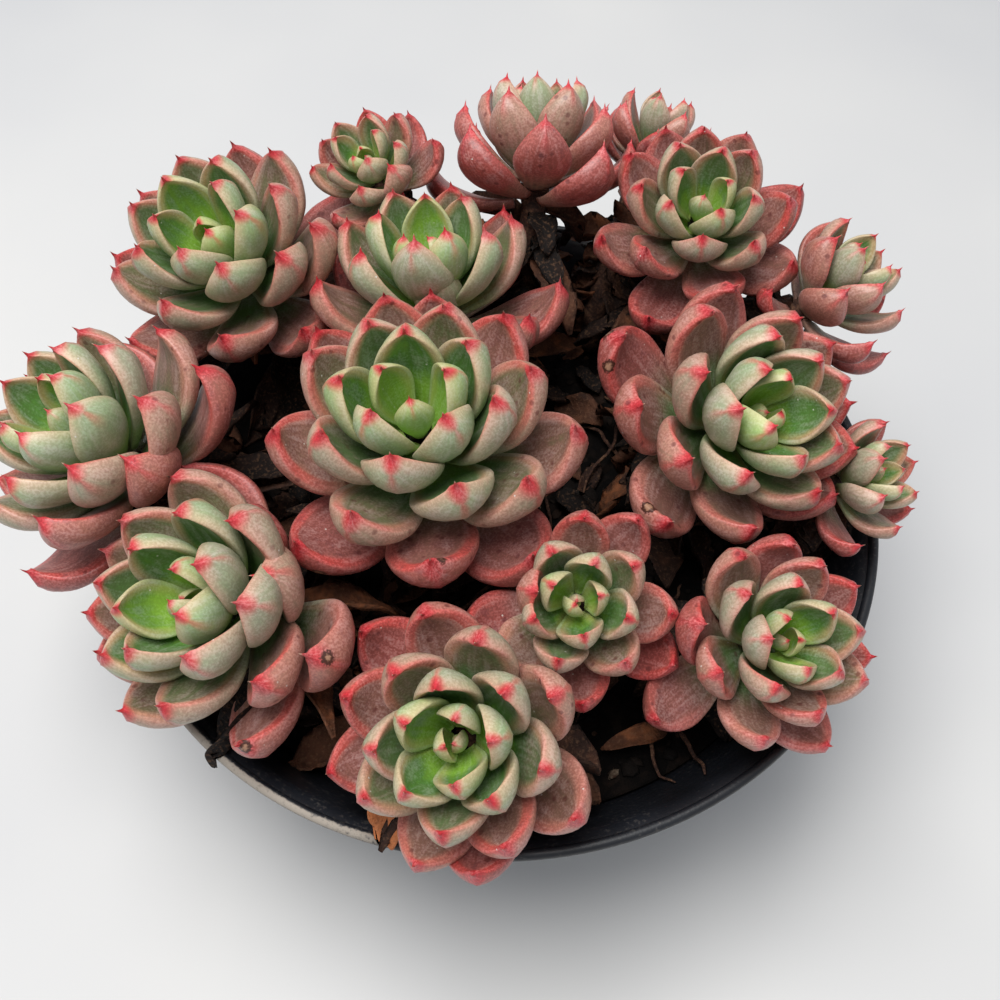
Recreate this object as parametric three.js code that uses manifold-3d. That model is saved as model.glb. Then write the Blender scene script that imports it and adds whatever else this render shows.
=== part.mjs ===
// Potted nana hook echeveria: fifteen rosettes of plump, red-hooked leaves on short stems,
// crowded in a flared black nursery bowl filled with soil.
// Millimetres, +Z up, origin at the bottom centre of the bowl; -Y is the front.

import * as THREE from 'three';
import { mergeVertices } from 'three/addons/utils/BufferGeometryUtils.js';
import Module from 'manifold-3d';

const wasm = await Module();
wasm.setup();

const DEGREE = Math.PI / 180;
const FIT_GAP = 0.3;

// Bowl
const BOWL_HEIGHT = 56;
const LIP_RADIUS = 70;
const LIP_BEAD = 1.8;
const FOOT_RADIUS = 42;
const FOOT_RING_WIDTH = 8;
const FOOT_RECESS = 1.5;
const CENTRE_PAD_RADIUS = 9;
const FLOOR_TOP = 3.5;
const SHOULDER_HEIGHT = 42;
const SHOULDER_RADIUS = 60.5;
const WALL_THICKNESS = 1.6;
const BOWL_SIDES = 44;
const DRAIN_HOLES = 6;
const DRAIN_RADIUS = 4;
const DRAIN_CIRCLE = 22;

// Soil
const SOIL_EDGE_HEIGHT = 43;
const SOIL_MOUND = 4;
const SOIL_LUMPS = 0.7;
const SOIL_SIDES = 32;
const SOIL_RINGS = [1, 0.8, 0.55, 0.28];
const STEM_HOLE_FLOOR = 30;

// Leaf arrangement: every next leaf of a rosette turns by the golden angle
const GOLDEN_ANGLE = 137.508;
const HEART_ELEVATION = 76;
const OLD_ELEVATION = 18;
const ELEVATION_POWER = 1.1;
const HEART_TURN = 26;
const OLD_TURN = 50;
const HEART_LENGTH = 0.5;
const LENGTH_GAIN = 0.45;
const LENGTH_POWER = 0.45;
const CROWN_DEPTH = 0.55;
const ROOT_RADIUS = 0.07;
const ROOT_SPREAD = 0.12;
const AZIMUTH_SWAY = 5;
const ELEVATION_SWAY = 4;
const ROLL_SWAY = 7;

// Core under the leaves, as shares of the leaf scale, from the stem up to the growing point
const CORE_SIDES = 6;
const CORE_FOOT = -0.715;
const CORE_TIP = 0.1;
const CORE_ROWS = [
  { up: -0.66, radius: 0.15 },
  { up: -0.55, radius: 0.24 },
  { up: -0.22, radius: 0.19 },
  { up: 0, radius: 0.12 },
];

// One leaf, as shares of its length; the stations run from root to shoulder of the tip
const LEAF_HALF_WIDTH = 0.3;
const LEAF_THICKNESS = 0.19;
const LEAF_STATIONS = [
  { along: 0.0, width: 0.24, thickness: 0.4 },
  { along: 0.5, width: 0.97, thickness: 1.0 },
  { along: 0.82, width: 0.72, thickness: 0.8 },
];
const TOP_SHARE = 0.16;
const HEART_HOOK = 0.02;
const OLD_HOOK = 0.11;
const HOOK_START = 0.68;

// What a leaf tries, in this order, until it clears its neighbours, the bowl and the soil
const LEAF_LIFTS = [0, 7, -7, 14, -14, 21];
const LEAF_SHRINKS = [1, 0.86, 0.72, 0.58];
const CLEARANCE_ROWS = [
  { along: 0.36, width: 0.85, bulk: 0.95 },
  { along: 0.5, width: 0.96, bulk: 1 },
  { along: 0.64, width: 0.97, bulk: 1 },
  { along: 0.78, width: 0.78, bulk: 0.85 },
  { along: 0.9, width: 0.5, bulk: 0.6 },
  { along: 1, width: 0.1, bulk: 0.3 },
];
const CLEARANCE_COLUMNS = [-0.84, -0.42, 0, 0.42, 0.84];
const EDGE_THINNING = 0.68;

// Stems
const STEM_RADIUS = 2.6;
const STEM_SIDES = 7;
const STEM_PULL = 0.5;
const STEM_STEPS = 5;
const STEM_BALLS = 12;
const STEM_TOP_SHARE = 0.7;
const STEM_FOOT_SHARE = 0.86;
const STEM_FOOT_LIMIT = 47;
const STEM_STUB = 3;

// Rosettes, those in full view first. Each row gives the name; the growing point, as x, y and
// height above the lip; the lean from upright and the heading it leans towards, in degrees;
// the leaf scale in mm; the heading of the first leaf; the hand of the spiral; and how many
// leaves there are. Headings turn from +X towards +Y.
const ROSETTES = [
  ['rosette_centre', [-12.5, -12, 32], 12, -110, 27.5, 144, -1, 26],
  ['rosette_right', [41, -4.5, 26], 35, -50, 24.5, 96, 1, 25],
  ['rosette_middle', [12.5, -37, 21], 27, -95, 18, 9, 1, 20],
  ['rosette_front', [-4.5, -58, 18], 31, -111, 22.5, 59, -1, 24],
  ['rosette_front_left', [-44, -36.5, 18], 34, -139, 26, 49, 1, 25],
  ['rosette_front_right', [43, -41, 17], 27, -55, 19.5, 134, 1, 21],
  ['rosette_back_centre', [-12.5, 25.5, 26], 8, 120, 25, 230, -1, 24],
  ['rosette_left', [-67.5, -8, 22.5], 31, -173, 24.5, 93, 1, 24],
  ['rosette_back_left', [-50.5, 31.5, 26], 21, -134, 25.5, 315, -1, 24],
  ['rosette_back_right', [36, 38, 31], 19, -98, 21, 17, 1, 22],
  ['rosette_back', [6.5, 56.5, 32], 43, 87, 20, 178, -1, 22],
  ['rosette_small_back_left', [-24, 46.5, 33.5], 20, -140, 14.5, 245, 1, 18],
  ['rosette_far_right', [61, 28.5, 24], 38, 12, 17, 163, 1, 18],
  ['rosette_right_edge', [62, -8, 15], 38, -20, 14.5, 6, 1, 18],
  ['rosette_small_back_right', [30, 66, 26], 34, 62, 14.5, 183, 1, 16],
].map(([name, apex, lean, heading, size, spin, hand, leaves]) => (
  { name, apex, lean, heading, size, spin, hand, leaves }
));

// A repeatable number from -1 to 1 for a rosette, a leaf and a use
function sway(rosette, leaf, use) {
  const wave = Math.sin(rosette * 12.9898 + leaf * 78.233 + use * 37.719) * 43758.5453;
  return 2 * (wave - Math.floor(wave)) - 1;
}

function solidOf(geometry) {
  const bare = geometry.clone();
  bare.deleteAttribute('normal');
  bare.deleteAttribute('uv');
  const merged = mergeVertices(bare, 1e-4);
  const vertProperties = new Float32Array(merged.attributes.position.array);
  const triVerts = new Uint32Array(merged.index.array);
  return new wasm.Manifold(new wasm.Mesh({ numProp: 3, vertProperties, triVerts }));
}

function geometryOf(solid) {
  const { vertProperties, triVerts } = solid.getMesh();
  const geometry = new THREE.BufferGeometry();
  geometry.setAttribute('position', new THREE.BufferAttribute(vertProperties, 3));
  geometry.setIndex(new THREE.BufferAttribute(triVerts, 1));
  geometry.computeVertexNormals();
  return geometry;
}

function finish(color, roughness) {
  return new THREE.MeshStandardMaterial({ color, roughness, metalness: 0 });
}

// Closed body from rings of points: side bands between rings, a fan to each end point
function ringBody(rings, firstEnd, lastEnd) {
  const sides = rings[0].length;
  const points = [firstEnd, ...rings.flat(), lastEnd];
  const last = points.length - 1;
  const faces = [];
  const at = (ring, side) => 1 + ring * sides + (side % sides);
  for (let side = 0; side < sides; side++) {
    faces.push([0, at(0, side + 1), at(0, side)]);
    faces.push([last, at(rings.length - 1, side), at(rings.length - 1, side + 1)]);
    for (let ring = 0; ring + 1 < rings.length; ring++) {
      faces.push([at(ring, side), at(ring, side + 1), at(ring + 1, side + 1)]);
      faces.push([at(ring, side), at(ring + 1, side + 1), at(ring + 1, side)]);
    }
  }
  const geometry = new THREE.BufferGeometry().setFromPoints(points);
  geometry.setIndex(faces.flat());
  return geometry;
}

// Inner radius of the bowl wall at a height
function innerRadius(height) {
  const shoulder = SHOULDER_RADIUS - WALL_THICKNESS;
  if (height < SHOULDER_HEIGHT) {
    const foot = FOOT_RADIUS - WALL_THICKNESS;
    return foot + ((shoulder - foot) * (height - FLOOR_TOP)) / (SHOULDER_HEIGHT - FLOOR_TOP);
  }
  const mouth = LIP_RADIUS - LIP_BEAD - WALL_THICKNESS;
  const share = (height - SHOULDER_HEIGHT) / (BOWL_HEIGHT - LIP_BEAD - SHOULDER_HEIGHT);
  return shoulder + (mouth - shoulder) * Math.min(share, 1);
}

function makeBowl() {
  const lipFoot = BOWL_HEIGHT - 1.5 * LIP_BEAD;
  const outline = [
    [0, 0],
    [CENTRE_PAD_RADIUS, 0],
    [CENTRE_PAD_RADIUS + FOOT_RECESS, FOOT_RECESS],
    [FOOT_RADIUS - FOOT_RING_WIDTH - FOOT_RECESS, FOOT_RECESS],
    [FOOT_RADIUS - FOOT_RING_WIDTH, 0],
    [FOOT_RADIUS - FOOT_RECESS, 0],
    [FOOT_RADIUS, FOOT_RECESS],
    [SHOULDER_RADIUS, SHOULDER_HEIGHT],
    [LIP_RADIUS - LIP_BEAD, lipFoot],
    [LIP_RADIUS - 0.5 * LIP_BEAD, lipFoot],
    [LIP_RADIUS, BOWL_HEIGHT - LIP_BEAD],
    [LIP_RADIUS, BOWL_HEIGHT - 0.4 * LIP_BEAD],
    [LIP_RADIUS - 0.5 * LIP_BEAD, BOWL_HEIGHT],
    [LIP_RADIUS - 1.2 * LIP_BEAD, BOWL_HEIGHT - 0.4 * LIP_BEAD],
    [innerRadius(BOWL_HEIGHT), BOWL_HEIGHT - LIP_BEAD],
    [innerRadius(SHOULDER_HEIGHT), SHOULDER_HEIGHT],
    [innerRadius(FLOOR_TOP), FLOOR_TOP],
    [0, FLOOR_TOP],
  ].map(([radius, height]) => new THREE.Vector2(radius, height));
  const turned = new THREE.LatheGeometry(outline, BOWL_SIDES).rotateX(Math.PI / 2);
  let bowl = solidOf(turned);
  for (let hole = 0; hole < DRAIN_HOLES; hole++) {
    const turn = (hole * 2 * Math.PI) / DRAIN_HOLES;
    const drill = new THREE.CylinderGeometry(DRAIN_RADIUS, DRAIN_RADIUS, 3 * FLOOR_TOP, 12)
      .rotateX(Math.PI / 2)
      .translate(DRAIN_CIRCLE * Math.cos(turn), DRAIN_CIRCLE * Math.sin(turn), FLOOR_TOP / 2);
    bowl = bowl.subtract(solidOf(drill));
  }
  return geometryOf(bowl);
}

// Height of the soil: a low mound with lumps of a few waves
function soilHeight(x, y) {
  const edge = innerRadius(SOIL_EDGE_HEIGHT);
  const share = Math.min(Math.hypot(x, y) / edge, 1);
  const lumps = Math.sin(0.31 * x + 1.3) * Math.cos(0.27 * y - 0.4) + 0.6 * Math.sin(0.17 * (x - y));
  return SOIL_EDGE_HEIGHT + SOIL_MOUND * (1 - share * share) + SOIL_LUMPS * lumps * (1 - share ** 4);
}

function makeSoil(stemFeet) {
  const bottom = FLOOR_TOP + FIT_GAP;
  const ringAt = (radius, height) =>
    Array.from({ length: SOIL_SIDES }, (_, side) => {
      const turn = (side * 2 * Math.PI) / SOIL_SIDES;
      const x = radius * Math.cos(turn);
      const y = radius * Math.sin(turn);
      return new THREE.Vector3(x, y, height ?? soilHeight(x, y));
    });
  const edge = innerRadius(SOIL_EDGE_HEIGHT) - 2 * FIT_GAP;
  const rings = [
    ringAt(innerRadius(bottom) - 2 * FIT_GAP, bottom),
    ringAt(innerRadius(SHOULDER_HEIGHT) - 2 * FIT_GAP, SHOULDER_HEIGHT),
    ...SOIL_RINGS.map((share) => ringAt(edge * share)),
  ];
  let soil = solidOf(
    ringBody(rings, new THREE.Vector3(0, 0, bottom), new THREE.Vector3(0, 0, soilHeight(0, 0))),
  );
  for (const foot of stemFeet) {
    const drill = new THREE.CylinderGeometry(
      STEM_RADIUS + FIT_GAP, STEM_RADIUS + FIT_GAP, BOWL_HEIGHT - STEM_HOLE_FLOOR, STEM_SIDES,
    )
      .rotateX(Math.PI / 2)
      .translate(foot.x, foot.y, (BOWL_HEIGHT + STEM_HOLE_FLOOR) / 2);
    soil = soil.subtract(solidOf(drill));
  }
  return geometryOf(soil);
}

// Where a rosette stands: its growing point, and its axis with two directions square to it
function standOf(rosette) {
  const lean = rosette.lean * DEGREE;
  const heading = rosette.heading * DEGREE;
  const axis = new THREE.Vector3(
    Math.sin(lean) * Math.cos(heading), Math.sin(lean) * Math.sin(heading), Math.cos(lean),
  );
  const east = new THREE.Vector3(0, 1, 0).cross(axis).normalize();
  const north = axis.clone().cross(east);
  const [x, y, rise] = rosette.apex;
  return { apex: new THREE.Vector3(x, y, BOWL_HEIGHT + rise), axis, east, north };
}

function stemFoot(rosette) {
  const { apex, axis } = standOf(rosette);
  const base = apex.clone().addScaledVector(axis, -CROWN_DEPTH * rosette.size);
  const reach = Math.hypot(base.x, base.y);
  const share = Math.min(STEM_FOOT_SHARE, STEM_FOOT_LIMIT / reach);
  return new THREE.Vector3(base.x * share, base.y * share, STEM_HOLE_FLOOR + FIT_GAP);
}

// The stem above the soil: upright at the soil, along the rosette's axis at the crown
function stemCurve(rosette) {
  const { apex, axis } = standOf(rosette);
  const start = stemFoot(rosette);
  start.z = soilHeight(start.x, start.y) + 0.5 * STEM_STUB;
  const end = apex.clone().addScaledVector(axis, -STEM_TOP_SHARE * CROWN_DEPTH * rosette.size);
  const pull = STEM_PULL * start.distanceTo(end);
  return new THREE.CubicBezierCurve3(
    start,
    start.clone().setZ(start.z + pull),
    end.clone().addScaledVector(axis, -pull),
    end,
  );
}

// A leaf's own measures; age runs from 0 in the heart to 1 for the oldest leaf
function leafOf(rosette, rank, leaf) {
  const age = leaf / (rosette.leaves - 1);
  const turn = HEART_TURN + (OLD_TURN - HEART_TURN) * age;
  const slope = HEART_ELEVATION + (OLD_ELEVATION - HEART_ELEVATION) * age ** ELEVATION_POWER;
  return {
    age,
    heading: rosette.spin + rosette.hand * GOLDEN_ANGLE * leaf + AZIMUTH_SWAY * sway(rank, leaf, 1),
    elevation: slope - turn / 2 + ELEVATION_SWAY * sway(rank, leaf, 2) * age,
    turn,
    hook: HEART_HOOK + (OLD_HOOK - HEART_HOOK) * age,
    roll: ROLL_SWAY * sway(rank, leaf, 3),
    length: rosette.size * (HEART_LENGTH + LENGTH_GAIN * age ** LENGTH_POWER),
    rootRadius: rosette.size * (ROOT_RADIUS + ROOT_SPREAD * age),
    rootDepth: rosette.size * CROWN_DEPTH * age,
  };
}

// Point and directions of a leaf at a share of its length. Its middle line is an arc that
// starts at the leaf's elevation and turns upward by its turn, with a hook that bends up more.
function leafFrame(stand, leaf, along) {
  const heading = leaf.heading * DEGREE;
  const outward = stand.east.clone().multiplyScalar(Math.cos(heading))
    .addScaledVector(stand.north, Math.sin(heading));
  const start = leaf.elevation * DEGREE;
  const turn = leaf.turn * DEGREE;
  const here = start + turn * along;
  const out = leaf.rootRadius + (leaf.length / turn) * (Math.sin(here) - Math.sin(start));
  const up = -leaf.rootDepth + (leaf.length / turn) * (Math.cos(start) - Math.cos(here));
  const upper = stand.axis.clone().multiplyScalar(Math.cos(here))
    .addScaledVector(outward, -Math.sin(here));
  const hooked = Math.max(along - HOOK_START, 0) / (1 - HOOK_START);
  const point = stand.apex.clone().addScaledVector(outward, out).addScaledVector(stand.axis, up)
    .addScaledVector(upper, leaf.hook * leaf.length * hooked * hooked);
  const sideways = stand.axis.clone().cross(outward);
  const roll = leaf.roll * DEGREE * along;
  return {
    point,
    upper: upper.clone().multiplyScalar(Math.cos(roll)).addScaledVector(sideways, Math.sin(roll)),
    sideways: sideways.multiplyScalar(Math.cos(roll)).addScaledVector(upper, -Math.sin(roll)),
  };
}

// A plump blade: a flattish upper face, a keeled lower one and a hooked point
function leafBlade(stand, leaf) {
  const rings = LEAF_STATIONS.map(({ along, width, thickness }) => {
    const { point, upper, sideways } = leafFrame(stand, leaf, along);
    const half = LEAF_HALF_WIDTH * leaf.length * width;
    const thick = LEAF_THICKNESS * leaf.length * thickness;
    const face = point.clone().addScaledVector(upper, 0.5 * TOP_SHARE * thick);
    return [
      face.clone().addScaledVector(sideways, half),
      face.clone().addScaledVector(sideways, -half),
      point.clone().addScaledVector(upper, (TOP_SHARE - 1) * thick),
    ];
  });
  const root = leafFrame(stand, leaf, 0).point;
  const hook = leafFrame(stand, leaf, 1).point;
  return ringBody(rings, root, hook);
}

// Balls that fill a leaf: thick along its keel and thin at its edges
function leafBalls(stand, leaf) {
  return CLEARANCE_ROWS.flatMap(({ along, width, bulk }) => {
    const { point, upper, sideways } = leafFrame(stand, leaf, along);
    return CLEARANCE_COLUMNS.map((column) => {
      const thick = LEAF_THICKNESS * leaf.length * bulk * (1 - EDGE_THINNING * Math.abs(column));
      const at = point.clone()
        .addScaledVector(upper, (TOP_SHARE - 0.5) * thick)
        .addScaledVector(sideways, LEAF_HALF_WIDTH * leaf.length * width * column);
      return { at, bulk: 0.5 * thick + FIT_GAP };
    });
  });
}

// True where a ball of the given bulk touches neither the bowl nor the soil
function clearsBowl({ at, bulk }) {
  const reach = Math.hypot(at.x, at.y);
  const bead = Math.hypot(reach - (LIP_RADIUS - LIP_BEAD / 2), at.z - (BOWL_HEIGHT - LIP_BEAD / 2));
  if (bead < bulk + LIP_BEAD) {
    return false;
  }
  if (at.z - bulk > BOWL_HEIGHT) {
    return true;
  }
  const inside = reach + bulk < innerRadius(Math.min(at.z, BOWL_HEIGHT)) - FIT_GAP;
  return inside && at.z - bulk > soilHeight(at.x, at.y) + FIT_GAP;
}

function clearsOthers(ball, others) {
  return others.every(({ at, bulk }) => ball.at.distanceTo(at) > ball.bulk + bulk);
}

// The leaf as it settles: lifted, lowered or shorter until it clears; none where it can't
function settledLeaf(stand, leaf, others) {
  for (const shrink of LEAF_SHRINKS) {
    for (const lift of LEAF_LIFTS) {
      const tried = { ...leaf, length: leaf.length * shrink, elevation: leaf.elevation + lift };
      const balls = leafBalls(stand, tried);
      if (balls.every((ball) => clearsBowl(ball) && clearsOthers(ball, others))) {
        return { leaf: tried, balls };
      }
    }
  }
  return null;
}

// Core of a rosette: a slim spindle round its axis, from the growing point down to the stem
function crownCore(stand, rosette) {
  const along = (up) => stand.apex.clone().addScaledVector(stand.axis, up * rosette.size);
  const rings = CORE_ROWS.map(({ up, radius }) =>
    Array.from({ length: CORE_SIDES }, (_, side) => {
      const turn = (side * 2 * Math.PI) / CORE_SIDES;
      return along(up)
        .addScaledVector(stand.east, radius * rosette.size * Math.cos(turn))
        .addScaledVector(stand.north, radius * rosette.size * Math.sin(turn));
    }),
  );
  return ringBody(rings, along(CORE_FOOT), along(CORE_TIP));
}

function makeStem(rosette) {
  const foot = stemFoot(rosette);
  const stubTop = soilHeight(foot.x, foot.y) + STEM_STUB;
  const buried = new THREE.CylinderGeometry(STEM_RADIUS, STEM_RADIUS, stubTop - foot.z, STEM_SIDES)
    .rotateX(Math.PI / 2)
    .translate(foot.x, foot.y, (stubTop + foot.z) / 2);
  const round = new THREE.Shape(
    Array.from({ length: STEM_SIDES }, (_, side) => {
      const turn = (side * 2 * Math.PI) / STEM_SIDES;
      return new THREE.Vector2(STEM_RADIUS * Math.cos(turn), STEM_RADIUS * Math.sin(turn));
    }),
  );
  const rising = new THREE.ExtrudeGeometry(round, {
    steps: STEM_STEPS, bevelEnabled: false, extrudePath: stemCurve(rosette),
  });
  return solidOf(buried).add(solidOf(rising));
}

function stemBalls(rosette) {
  return stemCurve(rosette).getPoints(STEM_BALLS).map((at) => ({ at, bulk: STEM_RADIUS + FIT_GAP }));
}

// Leaf positions of every rosette, settled in the order of the list
function settleAll() {
  const stems = ROSETTES.map(stemBalls);
  const settled = [];
  for (const [rank, rosette] of ROSETTES.entries()) {
    const stand = standOf(rosette);
    const others = [
      ...settled.flatMap((earlier) => earlier.balls),
      ...stems.filter((_, other) => other !== rank).flat(),
    ];
    const kept = [];
    for (let leaf = 0; leaf < rosette.leaves; leaf++) {
      const found = settledLeaf(stand, leafOf(rosette, rank, leaf), others);
      if (found) {
        kept.push(found);
      }
    }
    const leaves = kept.map((found) => found.leaf);
    const balls = kept.flatMap((found) => found.balls);
    settled.push({ rosette, stand, leaves, balls });
  }
  return settled;
}

function makeRosette({ rosette, stand, leaves }) {
  let body = solidOf(crownCore(stand, rosette)).add(makeStem(rosette));
  for (const leaf of leaves) {
    body = body.add(solidOf(leafBlade(stand, leaf)));
  }
  return geometryOf(body);
}

const plant = new THREE.Group();

function place(name, geometry, material) {
  const mesh = new THREE.Mesh(geometry, material);
  mesh.name = name;
  plant.add(mesh);
}

place('bowl', makeBowl(), finish(0x1b1d21, 0.45));
place('soil', makeSoil(ROSETTES.map(stemFoot)), finish(0x241b15, 0.95));
for (const settled of settleAll()) {
  place(settled.rosette.name, makeRosette(settled), finish(0x9c7f6a, 0.6));
}

export default plant;
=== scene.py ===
"""Looks of a clump of hook-tipped echeveria rosettes in a black nursery bowl.

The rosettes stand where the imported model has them. Each repeats the model's leaf spiral, in
which every leaf settles clear of its neighbours, and draws each leaf as a fine plump blade.
Lengths are in millimetres up to the mesh, which is in metres.
"""

import math

import bpy
import numpy as np
from mathutils import Matrix


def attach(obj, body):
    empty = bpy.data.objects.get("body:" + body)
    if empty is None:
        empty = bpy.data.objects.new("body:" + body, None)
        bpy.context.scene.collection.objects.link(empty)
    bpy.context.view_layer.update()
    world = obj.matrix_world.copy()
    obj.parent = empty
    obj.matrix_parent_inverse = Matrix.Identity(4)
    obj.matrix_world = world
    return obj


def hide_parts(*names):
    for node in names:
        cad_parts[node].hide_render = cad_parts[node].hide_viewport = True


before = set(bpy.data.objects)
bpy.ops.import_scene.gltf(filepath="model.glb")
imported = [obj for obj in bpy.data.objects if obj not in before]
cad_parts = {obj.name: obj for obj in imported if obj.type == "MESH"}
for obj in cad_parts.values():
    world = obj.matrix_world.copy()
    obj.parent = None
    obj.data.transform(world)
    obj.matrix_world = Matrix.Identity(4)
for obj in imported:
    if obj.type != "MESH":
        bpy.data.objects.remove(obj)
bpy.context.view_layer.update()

# A millimetre in metres, a full turn in radians, and the way up
MM = 0.001
TURN = 2 * math.pi
UPRIGHT = np.array([0, 0, 1])

# Camera, in millimetres, degrees and pixels. The picture is square.
PICTURE_WIDTH = 1000
FOCAL_PIXELS = 1175
SENSOR_WIDTH = 36
CAMERA_TARGET = (0.6, -4.0, 56.0)
CAMERA_ELEVATION = 56
CAMERA_DISTANCE = 215.5
CAMERA_ROLL = 1.0
NEAREST_SHOWN = 10

# Bowl
BOWL_HEIGHT = 56
LIP_RADIUS = 70
LIP_BEAD = 1.8
FOOT_RADIUS = 42
FOOT_RING_WIDTH = 8
FOOT_RECESS = 1.5
CENTRE_PAD_RADIUS = 9
FLOOR_TOP = 3.5
SHOULDER_HEIGHT = 42
SHOULDER_RADIUS = 60.5
WALL_THICKNESS = 1.6
DRAIN_HOLES = 6
DRAIN_RADIUS = 4
DRAIN_CIRCLE = 22
FIT_GAP = 0.3

# Soil
SOIL_EDGE_HEIGHT = 43
SOIL_MOUND = 4
SOIL_LUMPS = 0.7

# Leaf arrangement
GOLDEN_ANGLE = 137.508
HEART_ELEVATION = 76
OLD_ELEVATION = 18
ELEVATION_POWER = 1.1
HEART_TURN = 26
OLD_TURN = 50
HEART_LENGTH = 0.5
LENGTH_GAIN = 0.45
LENGTH_POWER = 0.45
CROWN_DEPTH = 0.55
ROOT_RADIUS = 0.07
ROOT_SPREAD = 0.12
AZIMUTH_SWAY = 5
ELEVATION_SWAY = 4
ROLL_SWAY = 7
LEAF_HALF_WIDTH = 0.3
LEAF_THICKNESS = 0.19
TOP_SHARE = 0.16
HEART_HOOK = 0.02
OLD_HOOK = 0.11
HOOK_START = 0.68

# What a leaf tries until it clears its neighbours, the bowl and the soil
LEAF_LIFTS = (0, 7, -7, 14, -14, 21)
LEAF_SHRINKS = (1, 0.86, 0.72, 0.58)
CLEARANCE_ALONG = np.array([0.36, 0.5, 0.64, 0.78, 0.9, 1.0])
CLEARANCE_WIDTH = np.array([0.85, 0.96, 0.97, 0.78, 0.5, 0.1])
CLEARANCE_BULK = np.array([0.95, 1.0, 1.0, 0.85, 0.6, 0.3])
CLEARANCE_COLUMNS = np.array([-0.84, -0.42, 0, 0.42, 0.84])
EDGE_THINNING = 0.68

# Stems
STEM_RADIUS = 2.6
STEM_PULL = 0.5
STEM_BALLS = 12
STEM_TOP_SHARE = 0.7
STEM_FOOT_SHARE = 0.86
STEM_FOOT_LIMIT = 47
STEM_STUB = 3

# A sway's steps from one rosette, leaf and use to the next, and what it is used for
ROSETTE_STEP = 12.9898
LEAF_STEP = 78.233
USE_STEP = 37.719
SWAY_SPREAD = 43758.5453
FOR_HEADING, FOR_ELEVATION, FOR_ROLL, FOR_LUCK, FOR_SKEW = range(1, 6)

# Rosettes, in the order in which they settle: name; growing point as x, y and height above
# the lip; lean and its heading; leaf scale; heading of the first leaf; hand of the spiral;
# number of leaves; and how far the sun has reddened it, from 0 to 1.
ROSETTES = (
    ("rosette_centre", (-12.5, -12, 32), 12, -110, 27.5, 144, -1, 26, 0.42),
    ("rosette_right", (41, -4.5, 26), 35, -50, 24.5, 96, 1, 25, 0.5),
    ("rosette_middle", (12.5, -37, 21), 27, -95, 18, 9, 1, 20, 0.66),
    ("rosette_front", (-4.5, -58, 18), 31, -111, 22.5, 59, -1, 24, 0.52),
    ("rosette_front_left", (-44, -36.5, 18), 34, -139, 26, 49, 1, 25, 0.45),
    ("rosette_front_right", (43, -41, 17), 27, -55, 19.5, 134, 1, 21, 0.62),
    ("rosette_back_centre", (-12.5, 25.5, 26), 8, 120, 25, 230, -1, 24, 0.5),
    ("rosette_left", (-67.5, -8, 22.5), 31, -173, 24.5, 93, 1, 24, 0.45),
    ("rosette_back_left", (-50.5, 31.5, 26), 21, -134, 25.5, 315, -1, 24, 0.42),
    ("rosette_back_right", (36, 38, 31), 19, -98, 21, 17, 1, 22, 0.62),
    ("rosette_back", (6.5, 56.5, 32), 43, 87, 20, 178, -1, 22, 0.8),
    ("rosette_small_back_left", (-24, 46.5, 33.5), 20, -140, 14.5, 245, 1, 18, 0.5),
    ("rosette_far_right", (61, 28.5, 24), 38, 12, 17, 163, 1, 18, 0.75),
    ("rosette_right_edge", (62, -8, 15), 38, -20, 14.5, 6, 1, 18, 0.6),
    ("rosette_small_back_right", (30, 66, 26), 34, 62, 14.5, 183, 1, 16, 0.9),
)


def sway(rosette, leaf, use):
    """A repeatable number from -1 to 1 for a rosette, a leaf and a use: the digits after the
    point of a steep sine wave."""
    turn = rosette * ROSETTE_STEP + leaf * LEAF_STEP + use * USE_STEP
    wave = math.sin(turn) * SWAY_SPREAD
    return 2 * (wave - math.floor(wave)) - 1


def ease(low, high, value):
    """0 below low, 1 above high, and a smooth S-curve between."""
    share = np.clip((value - low) / (high - low), 0, 1)
    return share * share * (3 - 2 * share)


def circle(count):
    """Angles in even steps round a full turn."""
    return np.linspace(0, TURN, count, endpoint=False)


def tone(red, green, blue):
    """A colour of 0 to 255 as the eye sees it, in the renderer's even steps of light."""
    seen = np.array([red, green, blue]) / 255
    even = np.where(seen <= 0.04045, seen / 12.92, ((seen + 0.055) / 1.055) ** 2.4)
    return (*even, 1.0)


def camera_directions():
    """The camera's right, up and backward directions, and its place in millimetres."""
    elevation, roll = math.radians(CAMERA_ELEVATION), math.radians(CAMERA_ROLL)
    back = np.array([0, -math.cos(elevation), math.sin(elevation)])
    level = np.array([1, 0, 0])
    rise = np.cross(back, level)
    right = level * math.cos(roll) + rise * math.sin(roll)
    up = rise * math.cos(roll) - level * math.sin(roll)
    return right, up, back, np.array(CAMERA_TARGET) + back * CAMERA_DISTANCE


# Shader wiring


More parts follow.
